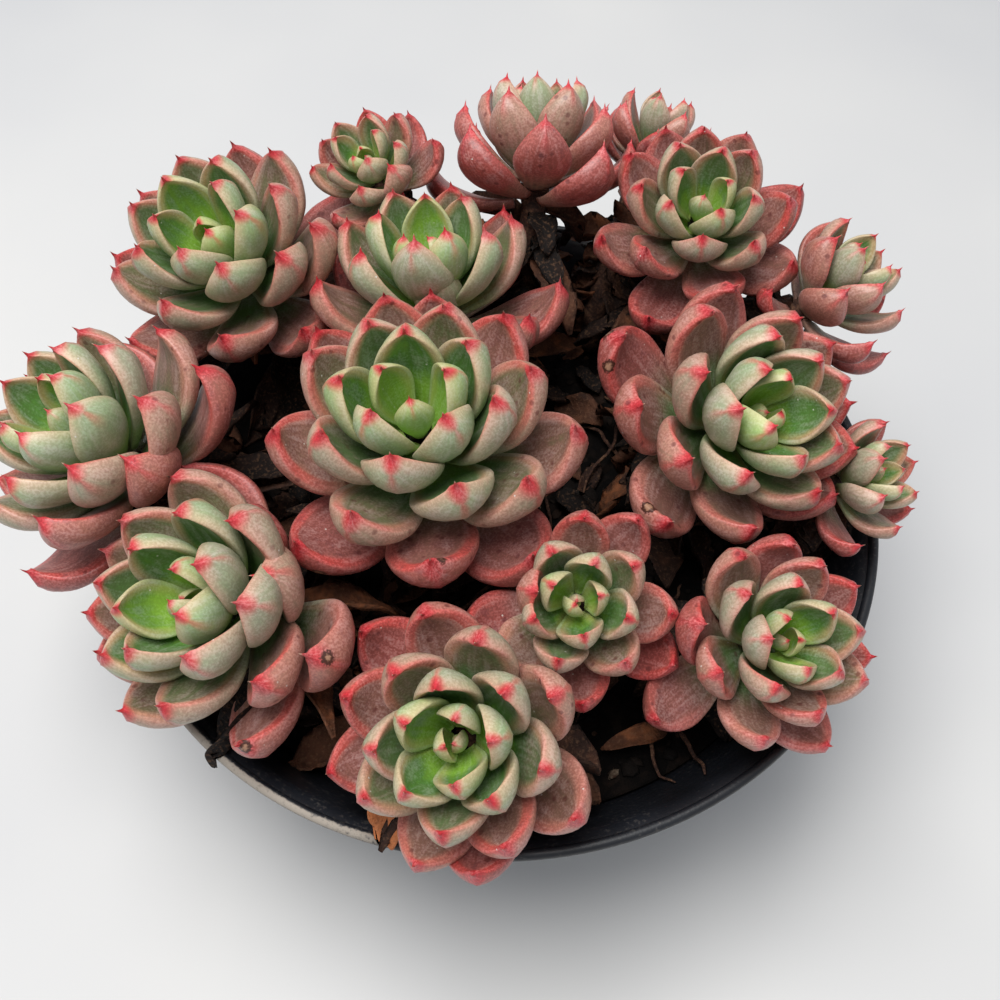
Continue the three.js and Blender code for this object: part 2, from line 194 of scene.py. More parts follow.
class Wire:
    """One socket of a material's nodes. Arithmetic on it adds Math nodes."""

    def __init__(self, tree, socket=None):
        self.tree = tree
        self.socket = socket

    def node(self, kind, settings, inputs, output=0):
        """Adds a node: its settings first, then the values or wires of its sockets."""
        made = self.tree.nodes.new("ShaderNode" + kind)
        for name, value in settings.items():
            if name == "stops":
                ramp = made.color_ramp.elements
                while len(ramp) < len(value):
                    ramp.new(0.5)
                for stop, (position, colour) in zip(ramp, value):
                    stop.position = position
                    stop.color = colour
            else:
                setattr(made, name, value)
        for name, value in inputs.items():
            if isinstance(value, Wire):
                self.tree.links.new(value.socket, made.inputs[name])
            else:
                made.inputs[name].default_value = value
        return Wire(self.tree, made.outputs[output])

    def maths(self, operation, *values):
        return self.node("Math", {"operation": operation}, dict(enumerate(values)))

    def __add__(self, other):
        return self.maths("ADD", self, other)

    def __radd__(self, other):
        return self.maths("ADD", other, self)

    def __sub__(self, other):
        return self.maths("SUBTRACT", self, other)

    def __rsub__(self, other):
        return self.maths("SUBTRACT", other, self)

    def __mul__(self, other):
        return self.maths("MULTIPLY", self, other)

    def __rmul__(self, other):
        return self.maths("MULTIPLY", other, self)

    def rise(self, low, high):
        """0 where the wire is below low, 1 above high, smooth between; high may be lower."""
        inputs = {"Value": self, "From Min": low, "From Max": high}
        return self.node("MapRange", {"interpolation_type": "SMOOTHSTEP"}, inputs)

    def ramp(self, *stops):
        """A colour for the wire's value, from (position, colour) stops."""
        return self.node("ValToRGB", {"stops": stops}, {"Fac": self})

    def blend(self, first, second):
        """Colour first where the wire is 0 and second where it is 1. A Mix node takes colours
        at its sockets 6 and 7 and gives one at its output 2."""
        settings = {"data_type": "RGBA", "clamp_factor": True}
        return self.node("Mix", settings, {0: self, 6: first, 7: second}, 2)

    def attribute(self, name):
        return self.node("Attribute", {"attribute_name": name}, {}, "Fac")

    def place(self):
        return self.node("TexCoord", {}, {}, "Object")

    def vector(self, x, y, z):
        return self.node("CombineXYZ", {}, {"X": x, "Y": y, "Z": z})

    def noise(self, scale, detail=3, rough=0.55, at=None):
        """Cloudy noise with so many cells to the metre; its middle is about a half."""
        at = self.place() if at is None else at
        inputs = {"Vector": at, "Scale": scale, "Detail": detail, "Roughness": rough}
        return self.node("TexNoise", {}, inputs)

    def spots(self, per_metre):
        """Scattered points: the distance to the nearest one, and a chance of its own."""
        inputs = {"Vector": self.place(), "Scale": per_metre}
        distance = self.node("TexVoronoi", {}, inputs, "Distance")
        return distance, Wire(self.tree, distance.socket.node.outputs["Color"])

    def bump(self, distance, strength=1.0):
        """A shading normal from the wire as a height of up to distance, in metres."""
        inputs = {"Height": self, "Distance": distance, "Strength": strength}
        return self.node("Bump", {}, inputs)


def material(name, paint, **fixed):
    """A new material. paint gets a bare wire and returns what goes to the shader's sockets."""
    made = bpy.data.materials.new(name)
    made.use_nodes = True
    tree = made.node_tree
    shader = next(node for node in tree.nodes if node.type == "BSDF_PRINCIPLED")
    for socket, value in fixed.items():
        shader.inputs[socket.replace("_", " ")].default_value = value
    for socket, value in paint(Wire(tree)).items():
        tree.links.new(value.socket, shader.inputs[socket])
    return made


# Meshes


def off_line(line, first, second, first_steps, second_steps):
    """A row of points for each point of a line, by so much along two directions from it."""
    return (line[:, None] + first[..., None, :] * first_steps[..., None]
            + second[..., None, :] * second_steps[..., None])


def show(name, data):
    """A new object of the scene from a mesh, a light or a camera."""
    made = bpy.data.objects.new(name, data)
    bpy.context.scene.collection.objects.link(made)
    return made


def tube_corners(rows, columns):
    """Corners of a tube's squares, and of the fans from its two ends to two pole points."""
    row, column = np.meshgrid(np.arange(rows - 1), np.arange(columns), indexing="ij")
    here = row * columns + column
    beside = row * columns + (column + 1) % columns
    squares = np.stack([here, beside, beside + columns, here + columns], -1).reshape(-1, 4)
    side = np.arange(columns)
    follow = (side + 1) % columns
    last = (rows - 1) * columns
    pole = np.full(columns, rows * columns)
    fans = np.concatenate([
        np.stack([follow, side, pole], -1),
        np.stack([last + side, last + follow, pole + 1], -1),
    ])
    return squares, fans


def signed_volume(points, squares, fans):
    """Sum of the corner tetrahedra to the origin: above 0 where the faces point outwards."""
    halves = np.concatenate([squares[:, [0, 1, 2]], squares[:, [0, 2, 3]], fans])
    a, b, c = (points[halves[:, corner]] for corner in range(3))
    return np.einsum("ij,ij->i", a, np.cross(b, c)).sum()


def mesh_of(name, points, squares, fans, marks, finish):
    """A piece from points in millimetres, its faces, and an attribute for each mark."""
    if signed_volume(points, squares, fans) < 0:
        squares = squares[:, ::-1]
        fans = fans[:, ::-1]
    mesh = bpy.data.meshes.new(name)
    mesh.vertices.add(len(points))
    mesh.vertices.foreach_set("co", (points * MM).astype(np.float32).ravel())
    mesh.loops.add(squares.size + fans.size)
    corners = np.concatenate([squares.ravel(), fans.ravel()])
    mesh.loops.foreach_set("vertex_index", corners.astype(np.int32))
    mesh.polygons.add(len(squares) + len(fans))
    sizes = np.concatenate([np.full(len(squares), 4), np.full(len(fans), 3)])
    starts = np.concatenate([[0], np.cumsum(sizes)[:-1]])
    mesh.polygons.foreach_set("loop_start", starts.astype(np.int32))
    mesh.polygons.foreach_set("use_smooth", np.ones(len(sizes), bool))
    for mark, values in marks.items():
        attribute = mesh.attributes.new(mark, "FLOAT", "POINT")
        attribute.data.foreach_set("value", np.asarray(values, np.float32).ravel())
    mesh.update(calc_edges=True)
    mesh.validate()
    mesh.materials.append(finish)
    return show(name, mesh)


def tubes(name, grids, marks, finish):
    """One piece from many closed bodies of the same grid, shaped (body, row, column, xyz)."""
    count, rows, columns, _ = grids.shape
    squares, fans = tube_corners(rows, columns)
    poles = np.stack([grids[:, 0].mean(1), grids[:, -1].mean(1)], 1)
    points = np.concatenate([grids.reshape(count, -1, 3), poles], 1)
    shift = (np.arange(count) * points.shape[1])[:, None, None]
    squares = (squares[None] + shift).reshape(-1, 4)
    fans = (fans[None] + shift).reshape(-1, 3)
    spread = {}
    for mark, values in marks.items():
        values = np.broadcast_to(values, grids.shape[:3])
        ends = np.stack([values[:, 0].mean(1), values[:, -1].mean(1)], 1)
        spread[mark] = np.concatenate([values.reshape(count, -1), ends], 1)
    return mesh_of(name, points.reshape(-1, 3), squares, fans, spread, finish)


def carry(piece, slot, *nodes):
    """Rides the piece on the one body and hides the nodes it stands for. The slot is not used."""
    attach(piece, "root")
    if nodes:
        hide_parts(*nodes)
    return piece


# Where the rosettes, stems and leaves are


def inner_radius(height):
    """Inner radius of the bowl: a straight flare to the shoulder, then a wider one."""
    shoulder = SHOULDER_RADIUS - WALL_THICKNESS
    foot = FOOT_RADIUS - WALL_THICKNESS
    mouth = LIP_RADIUS - LIP_BEAD - WALL_THICKNESS
    low = foot + (shoulder - foot) * (height - FLOOR_TOP) / (SHOULDER_HEIGHT - FLOOR_TOP)
    share = (height - SHOULDER_HEIGHT) / (BOWL_HEIGHT - LIP_BEAD - SHOULDER_HEIGHT)
    high = shoulder + (mouth - shoulder) * np.minimum(share, 1)
    return np.where(height < SHOULDER_HEIGHT, low, high)


SOIL_EDGE_RADIUS = float(inner_radius(SOIL_EDGE_HEIGHT))
MOUTH_RADIUS = float(inner_radius(BOWL_HEIGHT))


def soil_height(x, y):
    """A low mound over the bowl's width, with lumps of a few waves that fade to the edge."""
    share = np.minimum(np.hypot(x, y) / SOIL_EDGE_RADIUS, 1)
    lumps = np.sin(0.31 * x + 1.3) * np.cos(0.27 * y - 0.4) + 0.6 * np.sin(0.17 * (x - y))
    return SOIL_EDGE_HEIGHT + SOIL_MOUND * (1 - share**2) + SOIL_LUMPS * lumps * (1 - share**4)


class Rosette:
    """One row of ROSETTES with its axis and two directions square to it."""

    def __init__(self, rank, row):
        self.rank = rank
        (self.name, (x, y, rise), lean, heading, self.size, self.spin, self.hand,
         self.leaves, self.blush) = row
        lean, heading = math.radians(lean), math.radians(heading)
        flat = math.sin(lean)
        self.axis = np.array([flat * math.cos(heading), flat * math.sin(heading), math.cos(lean)])
        east = np.cross([0, 1, 0], self.axis)
        self.east = east / np.linalg.norm(east)
        self.north = np.cross(self.axis, self.east)
        self.apex = np.array([x, y, BOWL_HEIGHT + rise], float)

    def sway(self, leaf, use):
        return sway(self.rank, leaf, use)

    def outward(self, heading):
        """The direction square to the axis at a heading in radians."""
        return self.east * math.cos(heading) + self.north * math.sin(heading)

    def stem(self, steps):
        """Points of the stem above the soil: a Bezier curve, upright at the soil and along the
        rosette's axis at the crown."""
        base = self.apex - self.axis * CROWN_DEPTH * self.size
        share = min(STEM_FOOT_SHARE, STEM_FOOT_LIMIT / math.hypot(base[0], base[1]))
        x, y = base[:2] * share
        start = np.array([x, y, soil_height(x, y) + 0.5 * STEM_STUB])
        end = self.apex - self.axis * STEM_TOP_SHARE * CROWN_DEPTH * self.size
        pull = STEM_PULL * np.linalg.norm(end - start)
        second = start + np.array([0, 0, pull])
        third = end - self.axis * pull
        t = np.linspace(0, 1, steps)[:, None]
        s = 1 - t
        return s**3 * start + 3 * s * s * t * second + 3 * s * t * t * third + t**3 * end

    def leaf(self, number):
        """A leaf's measures from its number, counted out from the heart."""
        age = number / (self.leaves - 1)
        turn = HEART_TURN + (OLD_TURN - HEART_TURN) * age
        slope = HEART_ELEVATION + (OLD_ELEVATION - HEART_ELEVATION) * age**ELEVATION_POWER
        turned = self.hand * GOLDEN_ANGLE * number + AZIMUTH_SWAY * self.sway(number, FOR_HEADING)
        return {
            "number": number,
            "age": age,
            "heading": self.spin + turned,
            "elevation": slope - turn / 2 + ELEVATION_SWAY * self.sway(number, FOR_ELEVATION) * age,
            "turn": turn,
            "hook": HEART_HOOK + (OLD_HOOK - HEART_HOOK) * age,
            "roll": ROLL_SWAY * self.sway(number, FOR_ROLL),
            "length": self.size * (HEART_LENGTH + LENGTH_GAIN * age**LENGTH_POWER),
            "root_radius": self.size * (ROOT_RADIUS + ROOT_SPREAD * age),
            "root_depth": self.size * CROWN_DEPTH * age,
        }

    def leaf_frame(self, leaf, along):
        """Points, upper directions and sideways directions of a leaf's middle line, which is
        an arc that starts at the leaf's elevation and turns upward by its turn, with a hook
        at the end that bends up more."""
        outward = self.outward(math.radians(leaf["heading"]))
        start = math.radians(leaf["elevation"])
        turn = math.radians(leaf["turn"])
        here = (start + turn * along)[:, None]
        reach = leaf["length"] / turn
        out = leaf["root_radius"] + reach * (np.sin(here) - math.sin(start))
        up = -leaf["root_depth"] + reach * (math.cos(start) - np.cos(here))
        upper = self.axis * np.cos(here) - outward * np.sin(here)
        hooked = (np.maximum(along - HOOK_START, 0) / (1 - HOOK_START))[:, None]
        rise = leaf["hook"] * leaf["length"] * hooked**2
        point = self.apex + outward * out + self.axis * up + upper * rise
        sideways = np.cross(self.axis, outward)
        roll = (math.radians(leaf["roll"]) * along)[:, None]
        rolled = upper * np.cos(roll) + sideways * np.sin(roll)
        return point, rolled, sideways * np.cos(roll) - upper * np.sin(roll)

    def leaf_balls(self, leaf):
        """Centres and radii of balls that fill a leaf: thick on its keel, thin at its edges."""
        point, upper, sideways = self.leaf_frame(leaf, CLEARANCE_ALONG)
        thinning = 1 - EDGE_THINNING * np.abs(CLEARANCE_COLUMNS)
        thick = LEAF_THICKNESS * leaf["length"] * CLEARANCE_BULK[:, None] * thinning
        reach = LEAF_HALF_WIDTH * leaf["length"] * CLEARANCE_WIDTH[:, None] * CLEARANCE_COLUMNS
        centres = off_line(point, upper, sideways, (TOP_SHARE - 0.5) * thick, reach)
        return centres.reshape(-1, 3), (0.5 * thick + FIT_GAP).ravel()


def clears_bowl(centres, bulks):
    """True where no ball touches the lip, the wall or the soil."""
    reach = np.hypot(centres[:, 0], centres[:, 1])
    height = centres[:, 2]
    lip = np.hypot(reach - (LIP_RADIUS - LIP_BEAD / 2), height - (BOWL_HEIGHT - LIP_BEAD / 2))
    if np.any(lip < bulks + LIP_BEAD):
        return False
    inside = reach + bulks < inner_radius(np.minimum(height, BOWL_HEIGHT)) - FIT_GAP
    over = height - bulks > soil_height(centres[:, 0], centres[:, 1]) + FIT_GAP
    return bool(np.all((height - bulks > BOWL_HEIGHT) | (inside & over)))


def clears_others(centres, bulks, others, other_bulks):
    """True where no ball touches a ball of another rosette."""
    apart = np.linalg.norm(centres[:, None] - others[None], axis=-1)
    return bool(np.all(apart > bulks[:, None] + other_bulks[None]))


def settled_leaf(rosette, leaf, others, other_bulks):
    """The leaf lifted, lowered or shortened until it clears; nothing where it can't."""
    for shrink in LEAF_SHRINKS:
        for lift in LEAF_LIFTS:
            tried = dict(leaf)
            tried["length"] = leaf["length"] * shrink
            tried["elevation"] = leaf["elevation"] + lift
            balls = rosette.leaf_balls(tried)
            if clears_bowl(*balls) and clears_others(*balls, others, other_bulks):
                return tried, balls
    return None


def settle(rosettes):
    """The leaves that each rosette keeps, settled in the order of the list, and the centres
    and radii of the balls that fill all of them."""
    stems = [rosette.stem(STEM_BALLS + 1) for rosette in rosettes]
    stem_bulks = np.full(STEM_BALLS + 1, STEM_RADIUS + FIT_GAP)
    centres, bulks, kept = [], [], []
    for rosette in rosettes:
        rest = [stem for rank, stem in enumerate(stems) if rank != rosette.rank]
        others = np.concatenate(centres + rest)
        other_bulks = np.concatenate(bulks + [stem_bulks] * len(rest))
        found = [
            settled_leaf(rosette, rosette.leaf(number), others, other_bulks)
            for number in range(rosette.leaves)
        ]
        found = [pair for pair in found if pair]
        kept.append([leaf for leaf, _ in found])
        centres += [ball_centres for _, (ball_centres, _) in found]
        bulks += [ball_bulks for _, (_, ball_bulks) in found]
    return kept, np.concatenate(centres), np.concatenate(bulks)


# Leaves

LEAF_ROWS = 28
LEAF_COLUMNS = 24
TIP_CROWDING = 1.7

# Outline and thickness along a leaf, as shares of its length, half width and thickness
ROOT_WIDTH = 0.42
SHOULDER_START = 0.56
SPIKE_START = 0.86
SPIKE_END = 1.08
SPIKE_WIDTH = 0.17
SPIKE_BULK = 0.8
ROOT_BULK = 0.5
BULK_START = 0.6
BLUNT_START = 0.74

# Sections of a leaf. The powers are how squarely the face and the back turn in at the edges
# and how fast they rise from them.
RIDGE_ANGLE = math.radians(45)
SIDE_SHARE = 0.26
FACE_SQUARING = 0.5
BACK_SQUARING = 0.85
FACE_RISE = 0.9
BACK_RISE = 1.05
HOLLOW_WIDTH = 0.84
KEEL_HEIGHT = 0.1
KEEL_WIDTH = 0.2
DISH_LEVEL = 0.3
SKEW_SHARE = 0.05
OLD_DISH = 0.04
HEART_DISH = 0.3
OLD_BULGE = 0.06
HEART_HOLLOW = 0.26
YOUNG_END = 0.7

# Small folded leaves inside the spiral: how many; how much shorter each is, as a share of the
# first leaf; and how far they are raised and curled past it, in degrees
HEART_LEAVES = 3
HEART_SHRINK = 0.24
HEART_RAISE = 1
HEART_CURL = 4

# How ripe the leaves are, from 0 to 1, and how far from a ridge its mark still counts, in mm
FRESH_RIPENESS = 0.1
RIPENESS_GAIN = 0.75
RIPENESS_POWER = 0.9
RIPENESS_LUCK = 0.1
RIPENESS_BLUSH = 0.5
EDGE_REACH = 9

# Corky scabs on leaves, as pixels of the photograph, and how far off a leaf may be
SCABS = ((605, 364), (594, 318), (649, 502), (317, 580), (326, 661), (169, 476), (250, 748),
         (553, 500), (444, 558), (686, 700))
SCAB_SEARCH = 5

# Distances in metres over which a scab's stain and its crust set in
SCAB_STAIN = (0.0014, 0.0009)
SCAB_CRUST = (0.0007, 0.0002)


def leaf_outline(along):
    """Half width as a share of the widest: a rise from the root to the shoulder, a blunt
    rounded end, and a spike that joins it in a hollow curve. Gives it without the spike first."""
    rise = np.sin(np.clip(along / SHOULDER_START, 0, 1) * math.pi / 2) ** 1.3
    past = np.clip((along - SHOULDER_START) / (1 - SHOULDER_START), 0, 1)
    body = (ROOT_WIDTH + (1 - ROOT_WIDTH) * rise) * (1 - past**1.75) ** 0.85
    spike = SPIKE_WIDTH * np.clip((SPIKE_END - along) / (SPIKE_END - SPIKE_START), 0, 1)
    return body, (body**2 + spike**2) ** 0.5


def power(base, exponent):
    """The base's size to the exponent, with the base's own sign."""
    return np.sign(base) * np.abs(base) ** exponent


def ridge_distance(angle, side, lift):
    """Arc length round each section from the ridge where the upper face ends, in millimetres:
    above 0 on the upper face and below 0 on the sides and the back."""
    folded = np.arcsin(np.sin(angle))
    order = np.argsort(folded, kind="stable")
    _, first = np.unique(np.round(folded[order], 6), return_index=True)
    half = order[first]
    step = np.hypot(np.diff(np.abs(side[:, half]), axis=1), np.diff(lift[:, half], axis=1))
    arc = np.concatenate([np.zeros((len(side), 1)), np.cumsum(step, axis=1)], 1)
    ridge = np.argmin(np.abs(folded[half] - RIDGE_ANGLE))
    found = arc - arc[:, ridge, None]
    return found[:, np.searchsorted(np.round(folded[half], 6), np.round(folded, 6))]


def leaf_grid(rosette, leaf):
    """The skin of one leaf, as rows along it and columns round it, with its marks.

    Each section is a flat upper face that rounds over into plump sides and a deep soft keel.
    The blade dishes across its width, most in the heart. Thickness holds up to the blunt end,
    and the middle line bends up into the hooked point.
    """
    pace = np.linspace(0, 1, LEAF_ROWS)
    along = SPIKE_END * (1 - (1 - pace) ** TIP_CROWDING)
    body, outline = leaf_outline(along)
    half = (LEAF_HALF_WIDTH * leaf["length"] * outline)[:, None]
    past = np.clip((along - BLUNT_START) / (1 - BLUNT_START), 0, 1)
    swell = ROOT_BULK + (1 - ROOT_BULK) * ease(0, BULK_START, along)
    bulk = swell * (1 - past**2.8) ** 0.5
    thick = (LEAF_THICKNESS * leaf["length"] * bulk)[:, None]
    spike = SPIKE_BULK * (half * (1 - ease(0.02, 0.25, body))[:, None])

    point, upper, sideways = rosette.leaf_frame(leaf, along)

    angle = circle(LEAF_COLUMNS)
    above = np.sin(angle) > 1e-9
    face, back = power(np.cos(angle), FACE_SQUARING), power(np.cos(angle), BACK_SQUARING)
    across = np.where(above, face, back)
    height = np.abs(np.sin(angle))
    middle = np.clip(1 - (across / HOLLOW_WIDTH) ** 2, 0, 1) ** 1.5
    over = (SIDE_SHARE * thick + spike) * height**FACE_RISE - leaf["hollow"] * thick * middle
    keel = KEEL_HEIGHT * np.exp(-((across / KEEL_WIDTH) ** 2))
    keel = keel * ease(0.45, 0.9, along)[:, None]
    under = -((1 - SIDE_SHARE) * thick + spike) * (height**BACK_RISE + keel)
    dish = leaf["dish"] * half * (across**2 - DISH_LEVEL)
    lift = np.where(above, over, under) + dish - 0.5 * (SIDE_SHARE - TOP_SHARE) * thick
    side = half * across * (1 + SKEW_SHARE * leaf["skew"] * np.sign(across))
    grid = off_line(point, upper, sideways, lift, side)

    edge = ridge_distance(angle, side, lift)
    edge = np.minimum(edge, np.maximum(1 - along, 0)[:, None] * leaf["length"])
    return grid, {
        "along": np.broadcast_to(along[:, None], side.shape),
        "across": np.broadcast_to(across, side.shape),
        "edge_mm": np.clip(edge, -EDGE_REACH, EDGE_REACH),
    }


def heart_leaf(rosette, number):
    """One of the small folded leaves inside the first leaf of the spiral."""
    leaf = rosette.leaf(0)
    shrink = 1 - HEART_SHRINK * number
    leaf["number"] = -number
    leaf["heading"] = rosette.spin - rosette.hand * GOLDEN_ANGLE * number
    leaf["elevation"] = HEART_ELEVATION + HEART_RAISE
    leaf["turn"] = HEART_TURN + HEART_CURL
    leaf["length"] *= shrink
    leaf["root_radius"] *= shrink**2
    return leaf


def rosette_skins(rosette, leaves):
    """The skins of all leaves of one rosette. Their marks drive the leaf colours: ripe runs
    from 0 for a fresh green leaf to 1 for a red one."""
    hearts = [heart_leaf(rosette, number) for number in range(HEART_LEAVES, 0, -1)]
    grids, marks = [], {}
    for leaf in hearts + leaves:
        luck = rosette.sway(leaf["number"], FOR_LUCK)
        leaf["skew"] = rosette.sway(leaf["number"], FOR_SKEW)
        young = float(1 - ease(0, YOUNG_END, leaf["age"]))
        leaf["dish"] = OLD_DISH + HEART_DISH * young
        leaf["hollow"] = HEART_HOLLOW * young - OLD_BULGE
        grid, found = leaf_grid(rosette, leaf)
        ripe = FRESH_RIPENESS + RIPENESS_GAIN * leaf["age"] ** RIPENESS_POWER
        ripe = ripe + RIPENESS_LUCK * luck + RIPENESS_BLUSH * (rosette.blush - 0.5)
        found["ripe"] = np.full(grid.shape[:2], np.clip(ripe, 0, 1))
        found["luck"] = np.full(grid.shape[:2], 0.5 + 0.5 * luck)
        grids.append(grid)
        for mark, values in found.items():
            marks.setdefault(mark, []).append(values)
    return np.stack(grids), {mark: np.stack(values) for mark, values in marks.items()}


def picture_spots(points):
    """Where points in millimetres fall in the picture, in pixels, and how far they are."""
    right, up, back, place = camera_directions()
    away = points - place
    depth = -(away @ back)
    middle = PICTURE_WIDTH / 2
    across = middle + FOCAL_PIXELS * (away @ right) / depth
    down = middle - FOCAL_PIXELS * (away @ up) / depth
    return across, down, depth


def scab_points(skins):
    """The leaf point nearest to the camera at each pixel of SCABS."""
    points = np.concatenate([skin.reshape(-1, 3) for skin in skins])
    across, down, depth = picture_spots(points)
    found = []
    for x, y in SCABS:
        near = np.hypot(across - x, down - y)
        covers = near < max(SCAB_SEARCH, near.min() + 1)
        found.append(points[covers][np.argmin(depth[covers])])
    return found


def nearest_scab(bare, scabs):
    """Distance to the nearest scab, in metres."""
    nearest = None
    for point in scabs:
        settings = {"operation": "DISTANCE"}
        inputs = {0: bare.place(), 1: tuple(float(value) * MM for value in point)}
        apart = bare.node("VectorMath", settings, inputs, "Value")
        nearest = apart if nearest is None else nearest.maths("MINIMUM", nearest, apart)
    return nearest


def paint_leaf(bare, scabs):
    """Green upper faces and pale backs that redden with age, a cream band and a coral line
    at the edges, a red keel and hook, a green root, wax bloom, streaks, dust, freckles,
    blotches, corky scabs and white specks."""
    ripe = bare.attribute("ripe")
    along = bare.attribute("along")
    across = bare.attribute("across")
    edge = bare.attribute("edge_mm")
    luck = bare.attribute("luck")
    cloud = bare.noise(240, 4)
    grain = bare.noise(2600, 2)
    soft = cloud - 0.5
    upper = edge.rise(-0.1, 0.25)
    streak = bare.noise(1, 3, 0.6, bare.vector(across * 7, along * 2.4, luck * 60 + upper * 9))
    hue = ripe + soft * 0.3 + (streak - 0.5) * 0.2 - along.rise(0.6, 0.2) * 0.3
    face = hue.ramp(
        (0.0, tone(136, 182, 62)), (0.2, tone(84, 132, 58)), (0.4, tone(104, 128, 82)),
        (0.6, tone(144, 110, 94)), (0.8, tone(156, 94, 88)), (1.0, tone(164, 66, 62)),
    )
    back = hue.ramp(
        (0.0, tone(160, 190, 112)), (0.2, tone(154, 176, 132)), (0.4, tone(170, 168, 142)),
        (0.6, tone(184, 132, 114)), (0.8, tone(178, 94, 86)), (1.0, tone(162, 54, 52)),
    )
    end = along.rise(0.35, 0.95)
    band = (edge + soft * 1.4).rise(1.9, 0.2)
    face = (band * (0.3 + 0.55 * end)).blend(face, ripe.ramp(
        (0.0, tone(206, 198, 128)), (0.35, tone(228, 178, 146)), (0.8, tone(204, 106, 98)),
    ))
    side = (edge + soft * 2.2 + ripe * -1.2).rise(-3.6, -0.2) * (0.1 + 0.65 * end)
    back = side.blend(back, ripe.ramp(
        (0.0, tone(212, 206, 152)), (0.35, tone(226, 172, 146)), (0.8, tone(196, 88, 82)),
    ))
    colour = upper.blend(back, face)
    ragged = edge + (grain - 0.5) * 0.5 + (streak - 0.5) * 0.8
    reddened = ripe.rise(0.1, 0.75)
    line = (ragged.maths("ABSOLUTE", ragged) - reddened * 0.4).rise(0.8, 0.1)
    line = line * (0.1 + 0.9 * reddened) * end * (cloud * 0.6 + luck * 0.4).rise(0.25, 0.6)
    colour = (line * 0.8).blend(colour, tone(212, 70, 66))
    middle = across.maths("ABSOLUTE", across)
    keel = (middle + soft * 0.5).rise(0.4, 0.02) * along.rise(0.72, 1.0) * (1 - upper)
    red = (keel * (0.3 + 0.6 * luck)).maths("MAXIMUM", keel * 0.6, along.rise(0.93, 1.0))
    colour = red.blend(colour, tone(206, 44, 56))
    colour = along.rise(1.05, 1.075).blend(colour, tone(214, 178, 150))
    bloom = (cloud * 0.6 + streak * 0.6 + (grain - 0.5) * 0.5).rise(0.5, 0.9) * 0.25
    colour = bloom.blend(colour, tone(214, 214, 206))
    dust = (grain + (streak - 0.5) * 0.6).rise(0.62, 0.36) * (0.12 + 0.3 * ripe)
    colour = dust.blend(colour, tone(78, 52, 44))
    apart, chance = bare.spots(420)
    freckle = apart.rise(0.26, 0.12) * chance.rise(0.55, 0.6) * ripe.rise(0.3, 0.6)
    colour = (freckle * 0.6).blend(colour, tone(92, 40, 40))
    blotch = bare.noise(520, 3).rise(0.56, 0.7) * ripe.rise(0.4, 0.9)
    colour = (blotch * 0.35).blend(colour, tone(104, 58, 64))
    scab = nearest_scab(bare, scabs) + (grain - 0.5) * 0.0012 + soft * 0.002
    colour = scab.rise(*SCAB_STAIN).blend(colour, tone(74, 42, 34))
    crust = scab.rise(*SCAB_CRUST)
    colour = (crust * 0.85).blend(colour, tone(174, 132, 106))
    speck = apart.rise(0.08, 0.045) * chance.rise(0.4, 0.35)
    colour = (speck * 0.7).blend(colour, tone(226, 222, 214))
    wax = grain * 0.5 + cloud + streak * 0.6
    return {
        "Base Color": colour,
        "Roughness": 0.31 + bloom * 0.4 + grain * 0.12,
        "Normal": wax.bump(0.00012, 0.6),
    }


# Stems

STEM_GRID = (40, 16)
STEM_FOOT_WIDTH = 0.86
STEM_WIDENING = 0.12

# Leaf scars: height in millimetres, radians of wave over the length, and waves round the stem
STEM_SCARS = ((0.16, 40, 2), (0.08, 95, -3))


def make_stems(rosettes, finish):
    """Woody stems from the soil to the crowns: round sections along each stem's curve, with
    a ring of swelling at every old leaf scar."""
    rows, columns = STEM_GRID
    angle = circle(columns)
    grids = []
    for rosette in rosettes:
        line = rosette.stem(rows)
        way = np.gradient(line, axis=0)
        way /= np.linalg.norm(way, axis=1, keepdims=True)
        first = np.cross(way, rosette.north)
        first /= np.linalg.norm(first, axis=1, keepdims=True)
        second = np.cross(way, first)
        share = np.linspace(0, 1, rows)[:, None]
        scars = sum(high * np.sin(waves_along * share + waves_round * angle)
                    for high, waves_along, waves_round in STEM_SCARS)
        radius = STEM_RADIUS * (STEM_FOOT_WIDTH + STEM_WIDENING * share) + scars
        grids.append(off_line(line, first, second, radius * np.cos(angle), radius * np.sin(angle)))
    return tubes("stems", np.stack(grids), {}, finish)


def paint_stem(bare):
    """Brown corky skin, paler where it flakes."""
    cloud = bare.noise(420, 4)
    grain = bare.noise(1900, 3)
    colour = (cloud + (grain - 0.5) * 0.6).ramp(
        (0.3, tone(34, 22, 18)), (0.52, tone(70, 46, 36)), (0.75, tone(120, 88, 66)),
    )
    return {"Base Color": colour, "Normal": (cloud + grain * 0.6).bump(0.0005)}


# Bowl

# Mesh of the bowl, in millimetres, with the start and end of the lip's bead in degrees
BOWL_COLUMNS = 180
BOWL_STEP = 3.0
BOWL_CREASE = math.radians(40)
MIDDLE_RADIUS = 0.6 * CENTRE_PAD_RADIUS
FOOT_CORNER = (FOOT_RADIUS - 0.4, 0.5)
BEAD_STEPS = 14
BEAD_START = -60
BEAD_END = 200
DRILL_COLUMNS = 32
DRILL_REACH = 3.0

# Fine rings that the mould leaves, in radians of wave to the metre
MOULD_RINGS = 4200


